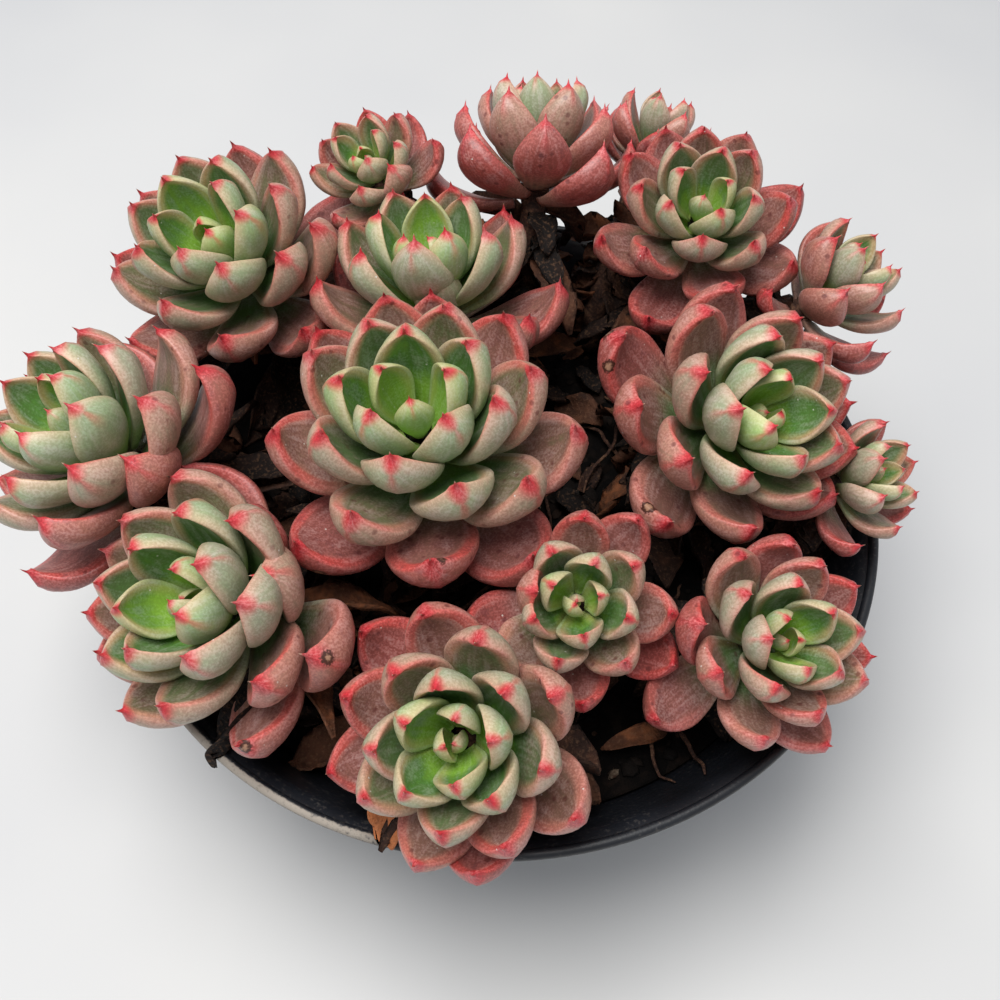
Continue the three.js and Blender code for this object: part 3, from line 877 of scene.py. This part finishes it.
def bowl_outline():
    """Radius and height of the bowl's turned outline, from the middle of the underside round
    the foot, the flared wall and the round lip bead, and down inside to the floor."""
    bead = LIP_BEAD / 2
    centre = (LIP_RADIUS - bead, BOWL_HEIGHT - bead)
    turn = np.radians(np.linspace(BEAD_START, BEAD_END, BEAD_STEPS))
    lip = np.stack([centre[0] + bead * np.cos(turn), centre[1] + bead * np.sin(turn)], -1)
    ring = FOOT_RADIUS - FOOT_RING_WIDTH
    below = [
        (MIDDLE_RADIUS, 0), (CENTRE_PAD_RADIUS, 0),
        (CENTRE_PAD_RADIUS + FOOT_RECESS, FOOT_RECESS), (ring - FOOT_RECESS, FOOT_RECESS),
        (ring, 0), (FOOT_RADIUS - FOOT_RECESS, 0), FOOT_CORNER, (FOOT_RADIUS, FOOT_RECESS),
    ]
    wall = [
        (SHOULDER_RADIUS, SHOULDER_HEIGHT),
        (LIP_RADIUS - LIP_BEAD, BOWL_HEIGHT - 1.5 * LIP_BEAD),
    ]
    inside = [
        (MOUTH_RADIUS, BOWL_HEIGHT - LIP_BEAD),
        (float(inner_radius(SHOULDER_HEIGHT)), SHOULDER_HEIGHT),
        (float(inner_radius(FLOOR_TOP)), FLOOR_TOP), (MIDDLE_RADIUS, FLOOR_TOP),
    ]
    return np.array(below + wall + [tuple(step) for step in lip] + inside)


def fine_outline(corners, step):
    """The outline with points put in so that none is further than step from the next."""
    lengths = np.linalg.norm(np.diff(corners, axis=0), axis=1)
    parts = [
        np.linspace(start, end, max(1, math.ceil(length / step)), endpoint=False)
        for start, end, length in zip(corners[:-1], corners[1:], lengths)
    ]
    return np.concatenate(parts + [corners[-1:]])


def make_bowl(finish):
    """The outline turned round the upright axis, with drain holes cut through the floor."""
    outline = fine_outline(bowl_outline(), BOWL_STEP)
    angle = circle(BOWL_COLUMNS)
    radius, height = outline[:, 0, None], outline[:, 1, None]
    grid = np.stack(np.broadcast_arrays(
        radius * np.cos(angle), radius * np.sin(angle), height), -1)
    bowl = tubes("bowl_shell", grid[None], {}, finish)
    drill_rows = np.array([-DRILL_REACH, FLOOR_TOP + DRILL_REACH])[:, None]
    around = circle(DRILL_COLUMNS)
    drills = []
    for hole in range(DRAIN_HOLES):
        turn = hole * TURN / DRAIN_HOLES
        drills.append(np.stack(np.broadcast_arrays(
            DRAIN_CIRCLE * math.cos(turn) + DRAIN_RADIUS * np.cos(around),
            DRAIN_CIRCLE * math.sin(turn) + DRAIN_RADIUS * np.sin(around), drill_rows), -1))
    drill = tubes("drill", np.stack(drills), {}, finish)
    cut = bowl.modifiers.new("drain_holes", "BOOLEAN")
    cut.object = drill
    cut.operation = "DIFFERENCE"
    cut.solver = "EXACT"
    bpy.context.view_layer.update()
    evaluated = bowl.evaluated_get(bpy.context.evaluated_depsgraph_get())
    drilled = bpy.data.meshes.new_from_object(evaluated)
    bowl.modifiers.clear()
    bowl.data = drilled
    bpy.data.objects.remove(drill)
    bowl.data.set_sharp_from_angle(angle=BOWL_CREASE)
    return bowl


def paint_bowl(bare):
    """Blue-black moulded plastic with a soft sheen and a little dust. The lip is paler
    in patches, most of all towards the left front."""
    along_x, along_y, height = (
        bare.node("SeparateXYZ", {}, {0: bare.place()}, axis) for axis in "XYZ"
    )
    squared = along_x * along_x + along_y * along_y
    reach = squared.maths("SQRT", squared)
    cloud = bare.noise(60, 4)
    grain = bare.noise(1500, 2)
    colour = cloud.ramp((0.3, tone(13, 14, 18)), (0.7, tone(24, 27, 34)))
    ragged = reach + (grain - 0.5) * 0.0006 + (cloud - 0.5) * 0.0012
    lip = height.rise((BOWL_HEIGHT - 1.5) * MM, (BOWL_HEIGHT - 0.5) * MM)
    lip = lip * ragged.rise((LIP_RADIUS - 1.1) * MM, (LIP_RADIUS - 0.75) * MM)
    # Pale patches on the lip, weighted towards its left front
    left_front_weight = along_x.rise(-0.008, -0.034) * along_y.rise(0.03, -0.02)
    pale_lip = lip * (cloud + grain * 0.5 + left_front_weight * 0.55).rise(0.95, 1.2)
    colour = (pale_lip * 0.85).blend(colour, tone(168, 158, 146))
    dust = (grain + cloud * 0.6).rise(0.9, 1.1) * 0.4
    colour = dust.blend(colour, tone(88, 84, 80))
    rings = height.maths("SINE", height * MOULD_RINGS)
    return {
        "Base Color": colour,
        "Roughness": 0.36 + cloud * 0.2 + pale_lip * 0.3,
        "Normal": (grain * 0.4 + cloud + rings * 0.12).bump(0.0002, 0.5),
    }


# Soil

SOIL_ROWS = 90
SOIL_COLUMNS = 260

# How near the rows come to the middle: above as a share, on the floor in millimetres
SOIL_MIDDLE = 0.004
SOIL_FLOOR_MIDDLE = 0.5

# Grain of the soil, as short waves in millimetres that fade out at the wall
SOIL_GRAIN = 0.16
SOIL_GRAIN_FADE = 0.1
GRAIN_LONGEST = 9
GRAIN_WAVES = 9
GRAIN_SEED = 5
WAVE_SHORTENING = 1.45
WAVE_LOWERING = 1.2


def waves(x, y, reach, count, seed):
    """A sum of flat waves with random headings. The longest has a length of reach, in
    millimetres, and each next one is shorter and lower by a fixed share."""
    draw = np.random.default_rng(seed)
    total = np.zeros(np.broadcast(x, y).shape)
    for step in range(count):
        heading, phase = draw.uniform(0, TURN, 2)
        wave = TURN / reach * WAVE_SHORTENING**step
        way = x * math.cos(heading) + y * math.sin(heading)
        total += np.sin(wave * way + phase) / WAVE_LOWERING**step
    return total


def make_soil(finish):
    """Potting mix: the mound with short waves as its grain, closed below by a flat floor."""
    edge = SOIL_EDGE_RADIUS - 2 * FIT_GAP
    share = np.linspace(1, SOIL_MIDDLE, SOIL_ROWS)[:, None]
    angle = circle(SOIL_COLUMNS)
    x, y = share * edge * np.cos(angle), share * edge * np.sin(angle)
    grain = SOIL_GRAIN * waves(x, y, GRAIN_LONGEST, GRAIN_WAVES, GRAIN_SEED)
    grain = grain * ease(0, SOIL_GRAIN_FADE, 1 - share)
    top = np.stack([x, y, soil_height(x, y) + grain], -1)
    bottom = FLOOR_TOP + FIT_GAP
    low = [(float(inner_radius(height)) - 2 * FIT_GAP, height)
           for height in (bottom, SHOULDER_HEIGHT)]
    below = np.stack([
        np.stack([radius * np.cos(angle), radius * np.sin(angle), np.full_like(angle, height)], -1)
        for radius, height in [(SOIL_FLOOR_MIDDLE, bottom), *low]
    ])
    return tubes("potting_soil", np.concatenate([below, top])[None], {}, finish)


def paint_soil(bare):
    """Near-black peat, partly painted shade of the gaps, with brown bark and a few pale grains."""
    cloud = bare.noise(240, 5)
    _, chips = bare.spots(520)
    # The near-black stops are dark peat and partly painted shade of the gaps between the rosettes
    colour = (cloud + chips * 0.25).ramp(
        (0.4, tone(3, 2, 2)), (0.62, tone(10, 7, 6)), (0.85, tone(27, 19, 15)),
    )
    return {"Base Color": colour, "Normal": (cloud + chips * 0.4).bump(0.0012)}


# Dry leaves, roots and crumbs

# A dry leaf, in millimetres; its end width is a share, its curl a share of its half width
DRY_GRID = (9, 8)
DRY_THICKNESS = 0.7
DRY_CRUMPLE = 0.45
DRY_END_WIDTH = 0.12
DRY_CURLS = (0.4, 1.2)
DRY_TINTS = (0, 0.75)
DRY_SEED = 11
DRY_CLEARANCE = 0.1
GROUND_GAP = 0.15
LIP_HOLD = 0.5

# Crumpling waves of a dry leaf: radians over its length and over its half width; then the
# waves of its edges and their depth as a share
DRY_WAVES = ((7, 3), (13, -5))
DRY_EDGE_WAVES = 13
DRY_EDGE_DEPTH = 0.07

# Dry leaves round each stem and over the soil. The spans are of pitch, droop and twist in
# radians, of length and of width. A skirt leaf's length is a share of its rosette's scale.
SKIRT_LEAVES = 30
SKIRT_SPANS = ((-0.9, 0.5), (0.1, 1.3), (-1.2, 1.2), (0.4, 0.95), (4, 8))
LITTER_LEAVES = 90
LITTER_REACH = 56
LITTER_RAISE = 1.5
LITTER_SPANS = ((-0.1, 0.5), (0.2, 1.0), (-0.8, 0.8), (8, 17), (3.5, 7))

# The dark and the orange leaf over the lip: root; heading in degrees; pitch, droop and twist in
# radians; length and width; tint
RIM_LEAF_GRID = (40, 28)
RIM_LEAF_SEED = 17
RIM_LEAVES = (
    ((-33, -40, 63.5), -128, 0.0, 1.0, 1.4, 22, 7, 0.1),
    ((-13, -59, 62), -112, -0.2, 1.2, 0.35, 14, 6.5, 0.92),
)

# Roots over the soil, in millimetres, with the drift of their heading in radians a step
LOOSE_ROOTS = 26
LOOSE_ROOT_GRID = (26, 5)
LOOSE_ROOT_LENGTHS = (14, 34)
LOOSE_ROOT_RADII = (0.25, 0.55)
LOOSE_ROOT_DRIFT = 0.16
LOOSE_ROOT_FIELD = 36
LOOSE_ROOT_ARCHES = (0.5, 4)
LOOSE_ROOT_SEED = 23

# Crumbs: sizes run from the least up by the gain; rows of a lump go up from its foot
CRUMBS = 700
CRUMB_SIDES = 6
CRUMB_LEAST = 0.5
CRUMB_GAIN = 1.9
CRUMB_WIDTHS = np.array([0.55, 1.0, 0.6])[:, None]
CRUMB_HEIGHTS = np.array([-0.3, 0.1, 0.5])[:, None]
CRUMB_RAGGEDNESS = (0.6, 1.2)
CRUMB_LENGTHS = (1, 1.8)
CRUMB_DEPTHS = (0.5, 1)
CRUMB_TILT = 0.25
CRUMB_RAISE = 0.1
CRUMB_MARGIN = 2.5
CRUMB_SEED = 31


def ground_height(x, y):
    """What a loose thing rests on: the soil, then the flare of the wall, then the lip."""
    reach = np.hypot(x, y)
    edge = SOIL_EDGE_RADIUS
    climb = (BOWL_HEIGHT - LIP_BEAD - SOIL_EDGE_HEIGHT) * (reach - edge) / (MOUTH_RADIUS - edge)
    ground = np.where(reach < edge, soil_height(x, y), SOIL_EDGE_HEIGHT + climb)
    ground = np.where(reach > MOUTH_RADIUS, BOWL_HEIGHT, ground)
    return np.where(reach > LIP_RADIUS + LIP_HOLD, 0, ground)


def dry_leaf(root, heading, pitch, droop, twist, length, width, draw, grid_size=DRY_GRID):
    """The skin of a shrivelled leaf. Its middle line starts at the pitch and droops by even
    steps, its edges curl up, short waves crumple it, and it lies on what is below it."""
    rows, columns = grid_size
    along = np.linspace(0, 1, rows)
    dip = pitch - droop * along
    step = length / (rows - 1)
    out = np.cumsum(np.cos(dip)) * step
    rise = np.cumsum(np.sin(dip)) * step
    way = np.array([math.cos(heading), math.sin(heading), 0])
    side = np.array([-math.sin(heading), math.cos(heading), 0])
    line = root + way * out[:, None] + UPRIGHT * rise[:, None]
    upper = UPRIGHT * np.cos(dip)[:, None] - way * np.sin(dip)[:, None]
    roll = (twist * along)[:, None]
    turned = side * np.cos(roll) + upper * np.sin(roll)
    raised = upper * np.cos(roll) - side * np.sin(roll)
    angle = circle(columns)
    across = np.cos(angle)
    belly = np.sin(math.pi * along**0.8) ** 0.8
    half = 0.5 * width * (DRY_END_WIDTH + (1 - DRY_END_WIDTH) * belly)[:, None]
    # Three starts are used. The fourth only keeps the later draws in step.
    starts = draw.uniform(0, TURN, 4)
    crumple = sum(np.sin(lengthwise * along[:, None] + crosswise * across + start)
                  for (lengthwise, crosswise), start in zip(DRY_WAVES, starts))
    curl = draw.uniform(*DRY_CURLS)
    lift = (0.5 * DRY_THICKNESS * np.sin(angle) + curl * half * across**2
            + DRY_CRUMPLE * crumple * np.minimum(1, half / 1.5))
    wavy = np.sin(DRY_EDGE_WAVES * along[:, None] + starts[2])
    reach = half * across * (1 + DRY_EDGE_DEPTH * wavy)
    grid = off_line(line, raised, turned, lift, reach)
    ground = ground_height(grid[..., 0], grid[..., 1]) + GROUND_GAP
    grid[..., 2] = np.maximum(grid[..., 2], ground + DRY_THICKNESS * (np.sin(angle) > 0))
    return grid


def skirt_leaves(rosettes, draw):
    """Dry leaves that hang round each stem, under the lowest live leaves."""
    for rosette in rosettes:
        stem = rosette.stem(STEM_BALLS)
        for _ in range(SKIRT_LEAVES):
            root = stem[draw.integers(STEM_BALLS // 3, STEM_BALLS - 1)]
            heading = draw.uniform(0, TURN)
            *bends, length, width = (draw.uniform(*span) for span in SKIRT_SPANS)
            yield dry_leaf(root, heading, *bends, rosette.size * length, width, draw)


def fallen_leaves(draw):
    """Dry leaves strewn over the soil."""
    for _ in range(LITTER_LEAVES):
        reach = LITTER_REACH * math.sqrt(draw.uniform(0, 1))
        turn = draw.uniform(0, TURN)
        x, y = reach * math.cos(turn), reach * math.sin(turn)
        root = np.array([x, y, float(ground_height(x, y)) + LITTER_RAISE])
        heading = draw.uniform(0, TURN)
        yield dry_leaf(root, heading, *(draw.uniform(*span) for span in LITTER_SPANS), draw)


def make_rim_leaves(finish):
    """The two dry leaves that hang over the front of the lip, a dark one and an orange one."""
    draw = np.random.default_rng(RIM_LEAF_SEED)
    grids = [
        dry_leaf(np.array(root), math.radians(heading), *form, draw, RIM_LEAF_GRID)
        for root, heading, *form, _ in RIM_LEAVES
    ]
    tints = np.array([row[-1] for row in RIM_LEAVES])
    return tubes("rim_leaves", np.stack(grids), {"tint": tints[:, None, None]}, finish)


def make_dry_leaves(rosettes, centres, bulks, finish):
    """All dry leaves that clear the live ones, as one piece."""
    draw = np.random.default_rng(DRY_SEED)
    kept, tints = [], []
    for grid in [*skirt_leaves(rosettes, draw), *fallen_leaves(draw)]:
        points = grid[1:, ::2].reshape(-1, 3)
        tint = draw.uniform(*DRY_TINTS)
        apart = np.full(len(points), DRY_CLEARANCE)
        if clears_others(points, apart, centres, bulks - FIT_GAP):
            kept.append(grid)
            tints.append(tint)
    marks = {"tint": np.array(tints)[:, None, None]}
    return tubes("dry_leaves", np.stack(kept), marks, finish)


def paint_dry_leaf(bare):
    """Papery brown skin from near black to orange tan, with paler veins and dark folds."""
    tint = bare.attribute("tint")
    cloud = bare.noise(300, 4)
    grain = bare.noise(1600, 3)
    colour = (tint + (cloud - 0.5) * 0.7).ramp(
        (0.1, tone(20, 14, 12)), (0.4, tone(50, 32, 25)), (0.7, tone(98, 62, 44)),
        (1.0, tone(190, 116, 72)),
    )
    colour = (grain.rise(0.5, 0.75) * 0.3).blend(colour, tone(150, 112, 84))
    return {"Base Color": colour, "Normal": (cloud + grain * 0.7).bump(0.0005)}


def make_roots(finish):
    """Thin roots and twigs that wander over the soil: a path whose heading drifts, with round
    sections that taper to both ends."""
    draw = np.random.default_rng(LOOSE_ROOT_SEED)
    rows, columns = LOOSE_ROOT_GRID
    angle = circle(columns)
    share = np.linspace(0, 1, rows)
    grids = []
    for _ in range(LOOSE_ROOTS):
        length = draw.uniform(*LOOSE_ROOT_LENGTHS)
        radius = draw.uniform(*LOOSE_ROOT_RADII)
        heading = draw.uniform(0, TURN) + np.cumsum(draw.normal(0, LOOSE_ROOT_DRIFT, rows))
        step = length / rows
        start = draw.uniform(-LOOSE_ROOT_FIELD, LOOSE_ROOT_FIELD, 2)
        x = start[0] + np.cumsum(np.cos(heading)) * step
        y = start[1] + np.cumsum(np.sin(heading)) * step
        arch = draw.uniform(*LOOSE_ROOT_ARCHES) * np.sin(math.pi * share)
        line = np.stack([x, y, ground_height(x, y) + radius + 2 * GROUND_GAP + arch], -1)
        thick = radius * (0.35 + 0.65 * np.sin(math.pi * share) ** 0.5)[:, None]
        side = np.stack([-np.sin(heading), np.cos(heading), np.zeros(rows)], -1)
        grids.append(off_line(line, side, UPRIGHT, thick * np.cos(angle), thick * np.sin(angle)))
    return tubes("roots", np.stack(grids), {}, finish)


def make_crumbs(finish):
    """Bark chips and grit: flat six-sided lumps of random size and turn, half sunk in soil."""
    draw = np.random.default_rng(CRUMB_SEED)
    edge = SOIL_EDGE_RADIUS - CRUMB_MARGIN
    reach = edge * np.sqrt(draw.uniform(0, 1, CRUMBS))
    turn = draw.uniform(0, TURN, CRUMBS)
    x, y = reach * np.cos(turn), reach * np.sin(turn)
    size = CRUMB_LEAST + CRUMB_GAIN * draw.uniform(0, 1, CRUMBS) ** 3
    angle = circle(CRUMB_SIDES)
    ragged = draw.uniform(*CRUMB_RAGGEDNESS, (CRUMBS, len(CRUMB_WIDTHS), CRUMB_SIDES))
    rim = size[:, None, None] * CRUMB_WIDTHS * ragged
    long = rim * np.cos(angle) * draw.uniform(*CRUMB_LENGTHS, CRUMBS)[:, None, None]
    wide = rim * np.sin(angle)
    high = size[:, None, None] * CRUMB_HEIGHTS
    high = high * draw.uniform(*CRUMB_DEPTHS, CRUMBS)[:, None, None] + CRUMB_TILT * wide
    facing = draw.uniform(0, TURN, CRUMBS)[:, None, None]
    grids = np.stack([
        x[:, None, None] + long * np.cos(facing) - wide * np.sin(facing),
        y[:, None, None] + long * np.sin(facing) + wide * np.cos(facing),
        (soil_height(x, y) + CRUMB_RAISE)[:, None, None] + high,
    ], -1)
    return tubes("crumbs", grids, {"tint": draw.uniform(0, 1, CRUMBS)[:, None, None]}, finish)


def paint_crumb(bare):
    """Dark bark and peat lumps, and a few pale mineral grains."""
    colour = (bare.attribute("tint") + (bare.noise(500) - 0.5) * 0.2).ramp(
        (0.0, tone(7, 5, 5)), (0.6, tone(24, 17, 13)), (0.93, tone(52, 35, 26)),
        (1.0, tone(128, 112, 96)),
    )
    return {"Base Color": colour, "Normal": bare.noise(1400).bump(0.0004)}


# Stage. The floor's reach and the panel are in metres, the panel's power in watts.

FLOOR_REACH = 3.0
PLANT_MIDDLE = (0, 0, 0.07)
PANEL_PLACE = (-0.12, -0.03, 0.72)
PANEL_SIZE = 0.42
PANEL_POWER = 5.2
PANEL_COLOUR = (1.0, 0.99, 0.97)
ROOM_COLOUR = (0.9, 0.94, 1.0, 1)
ROOM_STRENGTH = 0.5


def stand(name, data, right, up, back, place):
    """Puts a camera or a light at a place in metres, turned to three directions."""
    made = show(name, data)
    columns = [right, up, back, place]
    rows = [[*(float(column[row]) for column in columns)] for row in range(3)]
    made.matrix_world = Matrix([*rows, [0, 0, 0, 1]])
    return made


def make_camera():
    """A camera that looks down at the lip of the bowl from the front."""
    data = bpy.data.cameras.new("camera")
    data.sensor_width = SENSOR_WIDTH
    data.lens = SENSOR_WIDTH * FOCAL_PIXELS / PICTURE_WIDTH
    data.clip_start = NEAREST_SHOWN * MM
    right, up, back, place = camera_directions()
    bpy.context.scene.camera = stand("camera", data, right, up, back, place * MM)


def make_panel():
    """A square soft light over the left of the plant that faces the plant's middle."""
    data = bpy.data.lights.new("sky_panel", "AREA")
    data.size = PANEL_SIZE
    data.energy = PANEL_POWER
    data.color = PANEL_COLOUR
    place = np.array(PANEL_PLACE)
    away = place - np.array(PLANT_MIDDLE)
    away = away / np.linalg.norm(away)
    side = np.cross([0, 1, 0], away)
    side = side / np.linalg.norm(side)
    stand("sky_panel", data, side, np.cross(away, side), away, place)


def paint_floor(bare):
    """Pale grey with hardly any cloud in it."""
    cloud = bare.noise(6, 3)
    return {"Base Color": cloud.ramp((0.3, tone(204, 204, 205)), (0.7, tone(216, 215, 213)))}


def make_stage():
    """A plain pale floor under soft daylight from above, in a pale room."""
    mesh = bpy.data.meshes.new("floor")
    low, high = -FLOOR_REACH, FLOOR_REACH
    corners = [(low, low, 0), (high, low, 0), (high, high, 0), (low, high, 0)]
    mesh.from_pydata(corners, [], [(0, 1, 2, 3)])
    mesh.materials.append(material("pale_floor", paint_floor, Roughness=0.7))
    floor = show("floor", mesh)
    make_panel()
    world = bpy.data.worlds.new("room")
    world.use_nodes = True
    backdrop = world.node_tree.nodes["Background"]
    backdrop.inputs["Color"].default_value = ROOM_COLOUR
    backdrop.inputs["Strength"].default_value = ROOM_STRENGTH
    bpy.context.scene.world = world
    bpy.context.scene.view_settings.view_transform = "Standard"


# The whole thing

make_camera()
make_stage()

rosettes = [Rosette(rank, row) for rank, row in enumerate(ROSETTES)]
settled, leaf_centres, leaf_bulks = settle(rosettes)
skins = [rosette_skins(rosette, leaves) for rosette, leaves in zip(rosettes, settled)]
scabs = scab_points([grids for grids, _ in skins])

leaf_finish = material("waxy_leaf", lambda bare: paint_leaf(bare, scabs))
for rosette, (grids, marks) in zip(rosettes, skins):
    carry(tubes(rosette.name + "_leaves", grids, marks, leaf_finish), "leaves", rosette.name)

stem_finish = material("corky_stem", paint_stem, Roughness=0.85, Specular_IOR_Level=0.3)
carry(make_stems(rosettes, stem_finish), "leaves")

bowl_finish = material("black_plastic", paint_bowl)
carry(make_bowl(bowl_finish), "bowl_plastic", "bowl")

soil_finish = material("potting_mix", paint_soil, Roughness=0.95, Specular_IOR_Level=0.15)
carry(make_soil(soil_finish), "potting_soil", "soil")

dry_finish = material("papery_brown", paint_dry_leaf, Roughness=0.8, Specular_IOR_Level=0.25)
carry(make_dry_leaves(rosettes, leaf_centres, leaf_bulks, dry_finish), "leaves")
carry(make_rim_leaves(dry_finish), "leaves")
carry(make_roots(stem_finish), "potting_soil")
crumb_finish = material("bark_and_grit", paint_crumb, Roughness=0.9, Specular_IOR_Level=0.2)
carry(make_crumbs(crumb_finish), "potting_soil")
